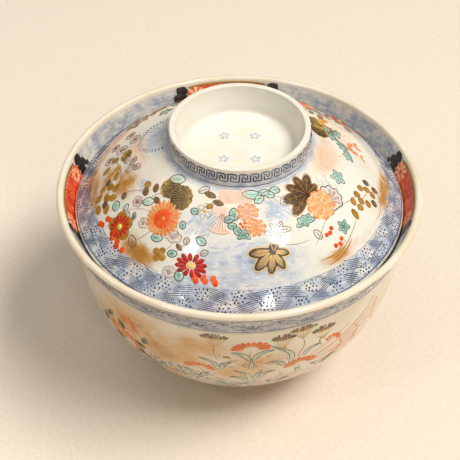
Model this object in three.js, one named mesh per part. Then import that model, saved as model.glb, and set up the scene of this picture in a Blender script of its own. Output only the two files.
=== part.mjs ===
// A lidded porcelain rice bowl: a thrown bowl on a turned foot ring, and a domed lid with a ring handle.
// The lid drops inside the flared rim and rests on its slope. Both pieces are solids of revolution.
// Millimetres, +Z up. The origin is the centre of the foot ring's underside.

import * as THREE from 'three';

// ---- Bowl ----
const rimRadius = 60; // widest circle of the lip
const bowlHeight = 73; // underside of the foot to the top of the lip
const bowlWall = 2.4;
const lipRadius = 1.25; // the lip is fully rounded
const flareWidth = 5.1; // how far the rim opens beyond the wall below it
const flareHeight = 19; // how far below the lip's centre the flare begins
const floorThickness = 3.7;
const floorFlatRadius = 18; // the flat middle of the floor inside

const footRadius = 25;
const footHeight = 6;
const footWidth = 2.8; // thickness of the foot ring
const recessDepth = 5.4; // table to the underside of the bowl inside the foot ring
const footTaper = 0.5; // the ring leans in by this much towards the table
const footEdge = 0.45; // rounding beside the flat that it stands on
const footFillet = 1.2; // rounding inside the recess

// ---- Lid ----
const seatAlongFlare = 0.66; // where on the flare the lid rests, from its foot (0) to the lip (1)
const seatGap = 0.3;
const lidWall = 2.2;
const domeRise = 23.95; // centre of the lid's edge to the foot of the ring
const lidMiddleThickness = 2.6; // under the floor of the ring's well
const undersideMargin = 0.9; // how far the flat middle of the underside reaches beyond the ring's foot

const ringRadius = 22.3; // outside, at the top
const ringTaper = 0.8; // the ring is this much wider at its foot
const ringHeight = 6.4; // above the dome
const ringWall = 1.9;
const ringEdge = 0.45; // rounding beside the ring's flat top
const wellDepth = 9.2; // top of the ring to the floor inside it
const wellWallLean = 1.8; // how far the well narrows from its mouth to the start of its fillet
const wellFillet = 2.2; // rounding between the well's wall and its floor

// ---- Shape of the curves, as shares of the spans that they cross ----
const outerHipReach = 0.65;
const outerHipLift = 0.128;
const outerWallDrop = 0.382;
const innerHipReach = 0.615;
const innerWallDrop = 0.461;
const domeShoulderReach = 0.5;
const domeShoulderLift = 0.735;
const undersideShoulderReach = 0.32;

// ---- Fineness ----
const aroundSteps = 64;
const wallSteps = 11;
const flareSteps = 5;
const domeSteps = 9;
const roundSteps = 3; // for each quarter turn of a small rounding
const lipSteps = 6;

// A point of a profile: distance from the axis, and height.
const at = (radius, height) => new THREE.Vector2(radius, height);

// Points of a curve without its first one, so that curves join end to end.
function along(curve, steps) {
  return curve.getPoints(steps).slice(1);
}

// A rounding between two points that bulges towards the corner.
function rounding(from, corner, to, steps = roundSteps) {
  return along(new THREE.QuadraticBezierCurve(from, corner, to), steps);
}

// An arc about a centre, from one angle to another, in degrees from the outward direction.
function arc(centre, radius, fromDegrees, toDegrees, steps) {
  const points = [];
  for (let i = 0; i <= steps; i++) {
    const angle = THREE.MathUtils.degToRad(fromDegrees + ((toDegrees - fromDegrees) * i) / steps);
    points.push(at(centre.x + radius * Math.cos(angle), centre.y + radius * Math.sin(angle)));
  }
  return points;
}

// Turns a profile, which runs from axis to axis with the material on its left, into a closed solid.
function revolve(profile, name, material) {
  const geometry = new THREE.LatheGeometry(profile, aroundSteps);
  geometry.rotateX(Math.PI / 2);
  const mesh = new THREE.Mesh(geometry, material);
  mesh.name = name;
  return mesh;
}

// ---- Curves that both pieces share ----
const throatHeight = bowlHeight - lipRadius - flareHeight;
const throatOuter = rimRadius - flareWidth;
const throatInner = throatOuter - bowlWall;
const lipCentre = at(rimRadius - lipRadius, bowlHeight - lipRadius);

// The inside of the flared rim: upright at the throat, opening towards the lip.
const innerFlare = new THREE.QuadraticBezierCurve(
  at(throatInner, throatHeight),
  at(throatInner, throatHeight + flareHeight / 2),
  at(lipCentre.x - lipRadius, lipCentre.y),
);

function bowlProfile() {
  const recessTop = at(0, recessDepth);
  const footInner = footRadius - footWidth;
  const floor = recessTop.y + floorThickness;
  const junction = at(footRadius + footTaper, footHeight);

  const recess = [
    recessTop,
    at(footInner - footFillet, recessTop.y),
    ...rounding(
      at(footInner - footFillet, recessTop.y),
      at(footInner, recessTop.y),
      at(footInner, recessTop.y - footFillet),
    ),
    at(footInner, footEdge),
    ...rounding(at(footInner, footEdge), at(footInner, 0), at(footInner + footEdge, 0)),
  ];
  const foot = [
    at(footRadius - footEdge, 0),
    ...rounding(at(footRadius - footEdge, 0), at(footRadius, 0), at(footRadius, footEdge)),
    junction,
  ];
  const outerWall = new THREE.CubicBezierCurve(
    junction,
    at(
      junction.x + outerHipReach * (throatOuter - junction.x),
      junction.y + outerHipLift * (throatHeight - junction.y),
    ),
    at(throatOuter, throatHeight - outerWallDrop * (throatHeight - junction.y)),
    at(throatOuter, throatHeight),
  );
  const outerFlare = new THREE.QuadraticBezierCurve(
    at(throatOuter, throatHeight),
    at(throatOuter, throatHeight + flareHeight / 2),
    at(lipCentre.x + lipRadius, lipCentre.y),
  );
  const innerWall = new THREE.CubicBezierCurve(
    at(throatInner, throatHeight),
    at(throatInner, throatHeight - innerWallDrop * (throatHeight - floor)),
    at(floorFlatRadius + innerHipReach * (throatInner - floorFlatRadius), floor),
    at(floorFlatRadius, floor),
  );
  return [
    ...recess,
    ...foot,
    ...along(outerWall, wallSteps),
    ...along(outerFlare, flareSteps),
    ...arc(lipCentre, lipRadius, 0, 180, lipSteps).slice(1),
    ...along(innerFlare, flareSteps).reverse().slice(1),
    at(throatInner, throatHeight),
    ...along(innerWall, wallSteps),
    at(0, floor),
  ];
}

function lidProfile() {
  // The lid's rounded edge is a half circle set off the flare by the gap.
  const seat = innerFlare.getPoint(seatAlongFlare);
  const slope = innerFlare.getTangent(seatAlongFlare);
  const intoBowl = at(-slope.y, slope.x);
  const edgeRadius = lidWall / 2;
  const edge = seat.clone().addScaledVector(intoBowl, seatGap + edgeRadius);

  const ringBase = at(ringRadius + ringTaper, edge.y + domeRise);
  const ringTop = ringBase.y + ringHeight;
  const wellFloor = ringTop - wellDepth;
  const undersideTop = wellFloor - lidMiddleThickness;
  const undersideFlat = at(ringBase.x + undersideMargin, undersideTop);

  const shoulder = at(
    ringBase.x + domeShoulderReach * (edge.x - ringBase.x),
    edge.y + domeShoulderLift * domeRise,
  );
  const edgeTurn = THREE.MathUtils.radToDeg(Math.atan2(edge.x - shoulder.x, shoulder.y - edge.y));
  const edgeArc = arc(edge, edgeRadius, edgeTurn - 180, edgeTurn, 2 * roundSteps);
  const underside = new THREE.QuadraticBezierCurve(
    undersideFlat,
    at(undersideFlat.x + undersideShoulderReach * (edge.x - undersideFlat.x), undersideTop),
    edgeArc[0],
  );
  const dome = new THREE.QuadraticBezierCurve(edgeArc[edgeArc.length - 1], shoulder, ringBase);

  const mouth = ringRadius - ringWall;
  const wellWallFoot = at(mouth - wellWallLean, wellFloor + wellFillet);
  const wellFloorEdge = at(wellWallFoot.x - wellFillet, wellFloor);
  return [
    at(0, undersideTop),
    undersideFlat,
    ...along(underside, domeSteps),
    ...edgeArc.slice(1),
    ...along(dome, domeSteps),
    at(ringRadius, ringTop - ringEdge),
    ...rounding(
      at(ringRadius, ringTop - ringEdge),
      at(ringRadius, ringTop),
      at(ringRadius - ringEdge, ringTop),
    ),
    at(mouth + ringEdge, ringTop),
    ...rounding(at(mouth + ringEdge, ringTop), at(mouth, ringTop), at(mouth, ringTop - ringEdge)),
    wellWallFoot,
    ...rounding(wellWallFoot, at(wellWallFoot.x, wellFloor), wellFloorEdge),
    at(0, wellFloor),
  ];
}

function glazedPorcelain(colour) {
  return new THREE.MeshStandardMaterial({ color: colour, roughness: 0.12, metalness: 0 });
}

const group = new THREE.Group();
group.add(revolve(bowlProfile(), 'bowl', glazedPorcelain(0xefe4cd)));
group.add(revolve(lidProfile(), 'lid', glazedPorcelain(0xf2ead9)));

export default group;
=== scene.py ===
"""A lidded porcelain rice bowl: fine glazed bodies, and brushwork laid on them as thin raised enamel."""

import math
from collections import defaultdict

import bpy
import numpy as np
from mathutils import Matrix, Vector


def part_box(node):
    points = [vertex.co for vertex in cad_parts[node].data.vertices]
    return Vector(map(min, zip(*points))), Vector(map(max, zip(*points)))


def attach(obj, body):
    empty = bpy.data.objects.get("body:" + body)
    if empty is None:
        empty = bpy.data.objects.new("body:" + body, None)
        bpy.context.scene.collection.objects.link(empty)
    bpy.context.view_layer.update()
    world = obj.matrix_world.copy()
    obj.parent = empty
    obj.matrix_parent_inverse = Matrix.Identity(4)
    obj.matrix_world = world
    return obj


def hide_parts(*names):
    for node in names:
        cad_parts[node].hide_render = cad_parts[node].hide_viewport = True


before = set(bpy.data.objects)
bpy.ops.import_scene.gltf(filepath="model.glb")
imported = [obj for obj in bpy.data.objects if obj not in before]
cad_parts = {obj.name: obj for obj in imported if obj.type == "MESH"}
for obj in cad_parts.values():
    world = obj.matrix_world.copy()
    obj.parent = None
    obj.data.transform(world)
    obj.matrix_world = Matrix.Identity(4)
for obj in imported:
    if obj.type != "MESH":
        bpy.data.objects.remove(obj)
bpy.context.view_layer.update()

bowl_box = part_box("bowl")
lid_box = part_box("lid")

# ---- Sizes, in metres ----
# The painter's chart below is in degrees from the front and in millimetres along the glaze.
MM = 0.001
RIM_RADIUS = bowl_box[1].x
BOWL_TOP = bowl_box[1].z
LID_TOP = lid_box[1].z

WALL = 0.0024
LIP_RADIUS = 0.00125
FLARE_WIDTH = 0.0051
FLARE_HEIGHT = 0.019
THROAT_OUTER = RIM_RADIUS - FLARE_WIDTH
THROAT_INNER = THROAT_OUTER - WALL
LIP_CENTRE = (RIM_RADIUS - LIP_RADIUS, BOWL_TOP - LIP_RADIUS)
THROAT_HEIGHT = LIP_CENTRE[1] - FLARE_HEIGHT
FLARE_MIDDLE = THROAT_HEIGHT + FLARE_HEIGHT / 2
FLOOR_FLAT = 0.018
RECESS_DEPTH = 0.0054
FLOOR_HEIGHT = RECESS_DEPTH + 0.0037

FOOT_OUTER = 0.025
FOOT_INNER = FOOT_OUTER - 0.0028
FOOT_EDGE = 0.00045
FOOT_FILLET = 0.0012
FOOT_JUNCTION = (FOOT_OUTER + 0.0005, 0.006)

LID_EDGE_RADIUS = 0.0011
LID_EDGE = (lid_box[1].x - LID_EDGE_RADIUS, lid_box[0].z + LID_EDGE_RADIUS)
DOME_RISE = 0.02395
RING_RADIUS = 0.0223
RING_BASE = (RING_RADIUS + 0.0008, LID_EDGE[1] + DOME_RISE)
RING_EDGE = 0.00045
RING_MOUTH = RING_RADIUS - 0.0019
WELL_FLOOR = LID_TOP - 0.0092
WELL_FILLET = 0.0022
WELL_FOOT = RING_MOUTH - 0.0018
UNDERSIDE_TOP = WELL_FLOOR - 0.0026
UNDERSIDE_FLAT = RING_BASE[0] + 0.0009

# Shape of the curves, as shares of the spans that they cross.
OUTER_HIP_REACH = 0.65
OUTER_HIP_LIFT = 0.128
OUTER_WALL_DROP = 0.382
INNER_HIP_REACH = 0.615
INNER_WALL_DROP = 0.461
DOME_SHOULDER_REACH = 0.5
DOME_SHOULDER_LIFT = 0.735
UNDERSIDE_SHOULDER_REACH = 0.32

COLUMNS = 360
FINE_STEP = 0.0007  # between rows of a painted face
COARSE_STEP = 0.0016
THROWING_RIPPLE = 0.00003  # deepest unevenness of the turned porcelain
WASHES = ("blue", "ochre", "peach", "biscuit")
GLAZE_ROUGHNESS = 0.1
BISCUIT_ROUGHNESS = 0.8

LAYER = 0.00003  # thickness of one coat of enamel
SUNK = 0.00002  # how far the edge of a stroke goes under the glaze
STROKE_STEP = 0.7  # chart millimetres between the sections of a stroke
THIN_STROKE = 0.9  # a narrower stroke is a plain ridge
BLOT_STEP = 1.3  # chart millimetres between the rings of a blot
LOBE_SHARPNESS = 13.0
LEAF_LINE = 0.32  # width of a leaf's outline, in chart millimetres

# How a stroke's width changes along it: shares of its length, and shares of its width.
LINE = ([0, 0.25, 0.75, 1], [0.35, 1, 1, 0.3])
EVEN = ([0, 1], [1, 1])
PETAL = ([0, 0.25, 0.6, 0.88, 1], [0.3, 0.75, 1, 0.8, 0.3])
BLADE = ([0, 0.3, 1], [0.6, 1, 0.1])

BOWL_MIDDLE = (0, 0, 0.05)
WARM = (1.0, 0.975, 0.94)
WHITE = (1.0, 1.0, 1.0)
FLOOR_HALF = 6.0

# For each colour: the record's slot, the roughness, and the colours as seen at tones from 0 to 1.
ENAMELS = {
    "blue": ("underglaze_blue", 0.16, [(0, 32, 35, 44), (0.5, 96, 106, 128), (1, 186, 194, 204)]),
    "red": (
        "iron_red_enamel", 0.28,
        [
            (0, 150, 22, 10), (0.25, 196, 40, 14), (0.5, 232, 82, 22), (0.8, 226, 128, 62),
            (1, 222, 164, 108)
        ]
    ),
    "peach": (
        "peach_enamel", 0.28,
        [(0, 200, 132, 106), (0.3, 238, 204, 182), (0.65, 248, 172, 120), (1, 252, 206, 156)]
    ),
    "green": (
        "green_enamel", 0.15,
        [(0, 78, 78, 52), (0.2, 92, 118, 100), (0.5, 166, 208, 192), (1, 228, 224, 200)]
    ),
    "dark": (
        "dark_enamel", 0.3,
        [(0, 28, 22, 18), (0.4, 104, 78, 56), (0.7, 158, 120, 94), (1, 222, 206, 192)]
    ),
    "ochre": (
        "ochre_gilding", 0.34,
        [(0, 104, 66, 18), (0.5, 176, 126, 46), (0.8, 214, 170, 84), (1, 238, 214, 110)]
    ),
    "gold": ("bright_gilding", 0.38, [(0, 160, 104, 40), (0.5, 220, 170, 98), (1, 248, 216, 150)])
}

# Angle from the front and elevation in degrees, distance and size in metres, power in watts, colour.
LIGHTS = {
    "key": (80, 60, 2.6, 1.0, 53.0, WARM),
    "ceiling": (-120, 76, 1.8, 1.6, 10.0, WARM),
    "window_left": (-46.6, 52.4, 1.0, 0.1, 0.8, WHITE),
    "window_left_low": (-38.2, 38.2, 1.0, 0.07, 0.2, WHITE),
    "window_right": (46.3, 58.5, 1.0, 0.17, 1.9, WHITE),
    "window_right_low": (19.9, 38.2, 1.0, 0.12, 0.7, WHITE)
}
SKY_COLOUR = (1.0, 0.98, 0.955, 1)
SKY_STRENGTH = 0.09
CAMERA_PLACE = (0, -0.2481, 0.28965)
CAMERA_TARGET = (-0.00293, -0.01028, 0.06004)
CAMERA_LENS = 78.26  # focal length in millimetres, on a 36 mm wide sensor
SENSOR_WIDTH = 36

rng = np.random.default_rng(11)


def into_scene(name, data):
    """A new object in the scene that holds a mesh, a light or a camera."""
    thing = bpy.data.objects.new(name, data)
    bpy.context.scene.collection.objects.link(thing)
    return thing


# ---- Profiles, as rows of distance from the axis and height ----
def sample(curve, length_hint, step):
    """Points of a curve, about a step apart."""
    shares = np.linspace(0, 1, max(2, math.ceil(length_hint / step) + 1))[:, None]
    return curve(shares)


def straight(start, end, step=COARSE_STEP):
    start, end = np.array(start), np.array(end)
    return sample(lambda t: start + (end - start) * t, np.linalg.norm(end - start), step)


def bend(start, corner, end, step=FINE_STEP):
    """A curve that leaves and arrives along the two sides of a corner."""
    start, corner, end = np.array(start), np.array(corner), np.array(end)
    hint = np.linalg.norm(corner - start) + np.linalg.norm(end - corner)
    return sample(lambda t: (1 - t) ** 2 * start + 2 * t * (1 - t) * corner + t**2 * end, hint, step)


def double_bend(start, first, second, end, step=FINE_STEP):
    """A curve that leaves towards the first corner and arrives from the second."""
    start, first, second, end = map(np.array, (start, first, second, end))

    def curve(t):
        near_start = (1 - t) ** 3 * start + 3 * t * (1 - t) ** 2 * first
        return near_start + 3 * t**2 * (1 - t) * second + t**3 * end

    return sample(curve, 1.1 * np.linalg.norm(end - start), step)


def round_edge(centre, radius, from_degrees, to_degrees, steps=12):
    angles = np.radians(np.linspace(from_degrees, to_degrees, steps + 1))
    return np.column_stack([centre[0] + radius * np.cos(angles), centre[1] + radius * np.sin(angles)])


def joined(*stretches):
    """Stretches of a profile end to end, without the repeated points."""
    kept = [stretches[0]] + [stretch[1:] for stretch in stretches[1:]]
    return np.vstack(kept)


class Glaze:
    """A painted face of revolution, charted by angle from the front and distance along its profile."""

    def __init__(self, profile, side):
        self.profile = profile
        steps = np.linalg.norm(np.diff(profile, axis=0), axis=1)
        self.distance = np.concatenate([[0.0], np.cumsum(steps)])
        slope = np.gradient(profile, self.distance, axis=0)
        normal = side * np.column_stack([slope[:, 1], -slope[:, 0]])
        self.normal = normal / np.linalg.norm(normal, axis=1)[:, None]
        self.slope = slope[:, 0]

    def radius(self, distance):
        return np.interp(distance, self.distance, self.profile[:, 0])

    def widening(self, distance):
        return np.interp(distance, self.distance, self.slope)

    def place(self, angle, distance, lift):
        """Points on the glaze, raised by lift, and the directions that face out of it."""
        normal_r = np.interp(distance, self.distance, self.normal[:, 0])
        normal_z = np.interp(distance, self.distance, self.normal[:, 1])
        r = self.radius(distance) + lift * normal_r
        z = np.interp(distance, self.distance, self.profile[:, 1]) + lift * normal_z
        points = np.stack([r * np.sin(angle), -r * np.cos(angle), z], axis=-1)
        normals = np.stack([normal_r * np.sin(angle), -normal_r * np.cos(angle), normal_z], axis=-1)
        return points, normals


class Spot:
    """A place on a glaze with flat directions in millimetres: u to the right, v to the chart's start."""

    def __init__(self, glaze, angle, distance, turn=0.0):
        self.glaze = glaze
        self.angle = math.radians(angle)
        self.distance = distance * MM
        self.turn = math.radians(turn)
        self.radius = float(glaze.radius(self.distance))
        self.taper = -float(glaze.widening(self.distance))

    def chart(self, u, v):
        """Angle and distance of flat points, as if the paper were wrapped round the glaze."""
        across = MM * (u * math.cos(self.turn) - v * math.sin(self.turn))
        up = MM * (u * math.sin(self.turn) + v * math.cos(self.turn))
        if abs(self.taper) < 0.02:
            return self.angle + across / self.radius, self.distance - up
        apex = self.radius / self.taper
        way = math.copysign(1.0, apex)
        reach = np.hypot(across, up + apex)
        turned = np.arctan2(across, way * (up + apex))
        return self.angle + turned / abs(self.taper), self.distance - way * (reach - abs(apex))


class LevelSpot(Spot):
    """A spot whose u runs level round the glaze, for bands and rings."""

    def chart(self, u, v):
        return self.angle + MM * u / self.radius, self.distance - MM * v


# The bowl's faces.
outer_flare = bend(
    (RIM_RADIUS, LIP_CENTRE[1]), (THROAT_OUTER, FLARE_MIDDLE), (THROAT_OUTER, THROAT_HEIGHT)
)
outer_wall = double_bend(
    (THROAT_OUTER, THROAT_HEIGHT),
    (THROAT_OUTER, THROAT_HEIGHT - OUTER_WALL_DROP * (THROAT_HEIGHT - FOOT_JUNCTION[1])),
    (
        FOOT_JUNCTION[0] + OUTER_HIP_REACH * (THROAT_OUTER - FOOT_JUNCTION[0]),
        FOOT_JUNCTION[1] + OUTER_HIP_LIFT * (THROAT_HEIGHT - FOOT_JUNCTION[1])
    ),
    FOOT_JUNCTION
)
inner_wall = double_bend(
    (FLOOR_FLAT, FLOOR_HEIGHT),
    (FLOOR_FLAT + INNER_HIP_REACH * (THROAT_INNER - FLOOR_FLAT), FLOOR_HEIGHT),
    (THROAT_INNER, THROAT_HEIGHT - INNER_WALL_DROP * (THROAT_HEIGHT - FLOOR_HEIGHT)),
    (THROAT_INNER, THROAT_HEIGHT), 1.5 * FINE_STEP
)
bowl_outside = Glaze(joined(outer_flare, outer_wall), side=-1)
bowl_flare = Glaze(
    bend(
        (LIP_CENTRE[0] - LIP_RADIUS, LIP_CENTRE[1]), (THROAT_INNER, FLARE_MIDDLE),
        (THROAT_INNER, THROAT_HEIGHT)
    ),
    side=1
)
bowl_inside = Glaze(joined(straight((0, FLOOR_HEIGHT), (FLOOR_FLAT, FLOOR_HEIGHT)), inner_wall), side=-1)

# The lid's faces. Its edge turns from the underside to the dome as a half circle.
dome_shoulder = (
    RING_BASE[0] + DOME_SHOULDER_REACH * (LID_EDGE[0] - RING_BASE[0]),
    LID_EDGE[1] + DOME_SHOULDER_LIFT * DOME_RISE
)
edge_turn = math.degrees(math.atan2(LID_EDGE[0] - dome_shoulder[0], dome_shoulder[1] - LID_EDGE[1]))
lid_edge = round_edge(LID_EDGE, LID_EDGE_RADIUS, edge_turn - 180, edge_turn)
lid_dome = Glaze(bend(RING_BASE, dome_shoulder, lid_edge[-1]), side=-1)
lid_ring = Glaze(straight((RING_RADIUS, LID_TOP - RING_EDGE), RING_BASE, FINE_STEP), side=-1)
lid_well = Glaze(straight((0, WELL_FLOOR), (WELL_FOOT - WELL_FILLET, WELL_FLOOR)), side=-1)
lid_underside = Glaze(
    joined(
        straight((0, UNDERSIDE_TOP), (UNDERSIDE_FLAT, UNDERSIDE_TOP)),
        bend(
            (UNDERSIDE_FLAT, UNDERSIDE_TOP),
            (UNDERSIDE_FLAT + UNDERSIDE_SHOULDER_REACH * (LID_EDGE[0] - UNDERSIDE_FLAT), UNDERSIDE_TOP),
            lid_edge[0], COARSE_STEP
        )
    ),
    side=1
)


# ---- Brushes ----
def smooth_path(points, step=STROKE_STEP):
    """A flowing line through the given points."""
    points = np.asarray(points, float)
    ends = np.vstack([2 * points[0] - points[1], points, 2 * points[-1] - points[-2]])
    line = []
    for a, b, c, d in zip(ends, ends[1:], ends[2:], ends[3:]):
        count = max(2, math.ceil(np.linalg.norm(c - b) / step))
        t = np.arange(count)[:, None] / count
        line.append(
            0.5 * (
                2 * b + (c - a) * t + (2 * a - 5 * b + 4 * c - d) * t**2 + (3 * b - a - 3 * c + d) * t**3
            )
        )
    line.append(points[-1:])
    return np.vstack(line)


def polar(radius, degrees):
    """A flat point at a distance and a direction, measured clockwise from v."""
    a = math.radians(degrees)
    return np.array([radius * math.sin(a), radius * math.cos(a)])


class Paint:
    """The brushwork of one colour on one body, gathered into one mesh."""

    def __init__(self):
        self.points = []
        self.normals = []
        self.tones = []
        self.quads = []
        self.triangles = []
        self.count = 0

    def _lay(self, spot, u, v, lift, tone):
        angle, distance = spot.chart(u, v)
        points, normals = spot.glaze.place(angle, distance, lift)
        self.points.append(points.reshape(-1, 3))
        self.normals.append(normals.reshape(-1, 3))
        self.tones.append(np.broadcast_to(tone, u.shape).ravel())
        first = self.count
        self.count += u.size
        return first + np.arange(u.size).reshape(u.shape)

    def stroke(self, spot, path, width, tone=0.5, layer=1, swell=LINE, flow=0.12):
        """A brush line through flat points, with a rounded section whose rim sinks under the glaze."""
        line = smooth_path(path)
        share = np.linspace(0, 1, len(line))
        along = np.gradient(line, axis=0)
        along /= np.linalg.norm(along, axis=1)[:, None] + 1e-9
        half = 0.5 * width * np.interp(share, *swell)
        across = np.array([-1, 0, 1]) if width < THIN_STROKE else np.array([-1, -0.62, 0, 0.62, 1])
        u = line[:, :1] - along[:, 1:] * half[:, None] * across
        v = line[:, 1:] + along[:, :1] * half[:, None] * across
        crown = LAYER * layer + LAYER * (1 - across**2)
        lift = np.tile(crown, (len(line), 1)) + LAYER * rng.uniform(-0.3, 0.3)
        lift[:, [0, -1]] = -SUNK
        lift[[0, -1], :] = -SUNK
        shade = tone + rng.uniform(-0.06, 0.06) + flow * (share[:, None] - 0.5) + 0 * u
        index = self._lay(spot, u, v, lift, shade)
        quads = np.stack([index[:-1, :-1], index[:-1, 1:], index[1:, 1:], index[1:, :-1]], axis=-1)
        self.quads.append(quads.reshape(-1, 4))

    def dab(self, spot, start, length, width, aim, tone=0.5, layer=1, flow=0.12):
        """One press of the brush: a petal from its root outwards."""
        start = np.asarray(start, float)
        path = [start, start + polar(length / 2, aim), start + polar(length, aim)]
        self.stroke(spot, path, width, tone, layer, PETAL, flow)

    def blot(self, spot, outline, tone=0.5, layer=1, centre=None, flow=0.1):
        """A filled patch inside an outline that can be seen whole from its centre."""
        outline = np.asarray(outline, float)
        middle = outline.mean(axis=0) if centre is None else np.asarray(centre, float)
        reach = np.linalg.norm(outline - middle, axis=1).max()
        rings = max(1, math.ceil(reach / BLOT_STEP))
        shares = np.concatenate([np.linspace(0, 0.84, rings + 1)[1:], [1.0]])
        u = middle[0] + (outline[:, 0] - middle[0]) * shares[:, None]
        v = middle[1] + (outline[:, 1] - middle[1]) * shares[:, None]
        lift = np.tile((LAYER * (layer + 1 - 0.8 * shares**2))[:, None], (1, len(outline)))
        lift = lift + LAYER * rng.uniform(-0.3, 0.3)
        lift[-1] = -SUNK
        shade = tone + rng.uniform(-0.05, 0.05)
        index = self._lay(spot, u, v, lift, shade + flow * (shares[:, None] - 0.5) + 0 * u)
        hub = self._lay(
            spot, middle[:1], middle[1:], np.array([LAYER * (layer + 1)]), np.array([shade - flow / 2])
        )
        after = np.roll(index, -1, axis=1)
        quads = np.stack([index[:-1], after[:-1], after[1:], index[1:]], axis=-1)
        self.quads.append(quads.reshape(-1, 4))
        fan = np.stack([np.full(len(outline), hub[0]), index[0], after[0]], axis=-1)
        self.triangles.append(fan)

    def build(self, name, material):
        """One object, with every face turned to look out of the glaze."""
        points = np.vstack(self.points)
        normals = np.vstack(self.normals)
        faces = []
        for group in (self.quads, self.triangles):
            if not group:
                continue
            group = np.vstack(group)
            corner = points[group]
            facing = np.cross(corner[:, 1] - corner[:, 0], corner[:, 2] - corner[:, 0])
            inward = np.einsum("ij,ij->i", facing, normals[group[:, 0]]) < 0
            group[inward] = group[inward, ::-1]
            faces += group.tolist()
        mesh = bpy.data.meshes.new(name)
        mesh.from_pydata(points.tolist(), [], faces)
        mesh.shade_smooth()
        store(mesh, "tone", np.clip(np.concatenate(self.tones), 0, 1))
        mesh.materials.append(material)
        return into_scene(name, mesh)


def store(mesh, name, values):
    """A number on each point of a mesh, for its material to read."""
    attribute = mesh.attributes.new(name, "FLOAT", "POINT")
    attribute.data.foreach_set("value", np.asarray(values, np.float32).ravel())


# ---- Outlines ----
def turns(count):
    """Equal steps once round, in radians."""
    return np.arange(count) * 2 * math.pi / count


def oval(centre, width, height, count=14):
    a = turns(count)
    return np.column_stack([centre[0] + width / 2 * np.cos(a), centre[1] + height / 2 * np.sin(a)])


def pointed_oval(length, width, count=20):
    """A leaf from its stalk at the origin along v."""
    a = turns(count)
    return np.column_stack(
        [width / 2 * np.sin(a) * np.abs(np.sin(a)) ** 0.35, length / 2 * (1 - np.cos(a))]
    )


def scalloped(centre, radius, lobes, depth=0.14, squash=1.0, count=None):
    """A round flower outline with shallow round petals."""
    a = turns(count or 6 * lobes)
    r = radius * (1 - depth + depth * np.abs(np.cos(lobes * a / 2)) ** 0.6)
    return np.column_stack([centre[0] + r * np.sin(a), centre[1] + squash * r * np.cos(a)])


def lobed(tips, base, sharpness=5.0, count=60):
    """A leaf outline round the origin with a lobe towards each (direction, length)."""
    a = turns(count)
    r = np.full(count, float(base))
    for direction, length in tips:
        toward = np.clip(np.cos(a - math.radians(direction)), 0, 1) ** sharpness
        r = np.maximum(r, base + (length - base) * toward)
    return np.column_stack([r * np.sin(a), r * np.cos(a)])


def closed(outline):
    return np.vstack([outline, outline[:1]])


# ---- Motifs ----
def chrysanthemum(box, spot, radius, rays=24):
    """Narrow tan-orange rays round a bright red-orange heart."""
    red = box["red"]
    red.blot(spot, scalloped((0, 0), 0.93 * radius, rays, 0.05), tone=1.0, layer=0)
    for i in range(rays):
        aim = 360 * i / rays + rng.uniform(-2, 2)
        root = 0.4 * radius
        tip = radius * rng.uniform(0.93, 1.04)
        width = 2 * math.pi * 0.8 * radius / rays * 0.92
        red.dab(spot, polar(root, aim), tip - root, width, aim, tone=0.86, layer=2)
    red.blot(spot, scalloped((0, 0), 0.58 * radius, rays // 2, 0.12), tone=0.52, layer=4)
    for i in range(rays // 2):
        aim = 720 * i / rays
        ends = [polar(0.2 * radius, aim), polar(0.5 * radius, aim + 8)]
        red.stroke(spot, ends, 0.3, tone=0.3 + 0.3 * (i % 2), layer=5)
    red.blot(spot, oval((0, 0), 0.26 * radius, 0.26 * radius), tone=0.92, layer=6)


def daisy(box, spot, radius, petals=12, squash=1.0, tone=0.2):
    """Separate crimson petals round a yellow eye."""
    for i in range(petals):
        aim = 360 * (i + 0.5) / petals
        tip = polar(radius * rng.uniform(0.94, 1.05), aim) * (1, squash)
        root = polar(0.26 * radius, aim) * (1, squash)
        width = 2 * math.pi * 0.68 * radius * (1 + squash) / 2 / petals * 0.98
        middle = (root + tip) / 2
        box["red"].stroke(spot, [root, middle, tip], width, tone, 3, PETAL, flow=-0.1)
    box["ochre"].blot(spot, scalloped((0, 0), 0.25 * radius, 7, 0.2, squash), tone=0.98, layer=5)


def silhouette(box, spot, radius, lobes=5, start=0.0, tone=0.5):
    """A flat ochre flower of a few round petals."""
    for i in range(lobes):
        at = polar(0.55 * radius, start + 360 * i / lobes)
        box["ochre"].blot(spot, oval(at, radius, 0.95 * radius), tone=tone, layer=0)
    box["ochre"].blot(spot, oval((0, 0), 0.9 * radius, 0.9 * radius), tone=tone - 0.1, layer=1)


def leaf(box, spot, length, width, tone=0.5, fill="green", line_tone=0.2):
    """A filled leaf with a thin dark outline, a rib and side veins."""
    outline = pointed_oval(length, width) - (0, length / 2)
    if fill:
        box[fill].blot(spot, 0.94 * outline, tone=tone, layer=1, flow=0.3)
    dark = box["dark"]
    dark.stroke(spot, closed(outline), LEAF_LINE, line_tone, 3, EVEN)
    rib = [(0, -0.55 * length), (0.03 * width, 0), (0, 0.3 * length)]
    dark.stroke(spot, rib, 0.75 * LEAF_LINE, line_tone, 3)
    for i in range(3):
        v = length * (0.25 * i - 0.3)
        for side in (-1, 1):
            vein = [(0, v), (side * 0.3 * width, v + 0.16 * length)]
            dark.stroke(spot, vein, 0.55 * LEAF_LINE, line_tone + 0.15, 3)


def draw(motif, box, spot, *places, **look):
    """One motif at many places, each (angle, distance, turn) and then what the motif takes."""
    for angle, distance, turn, *details in places:
        motif(box, spot(angle, distance, turn), *details, **look)


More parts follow.
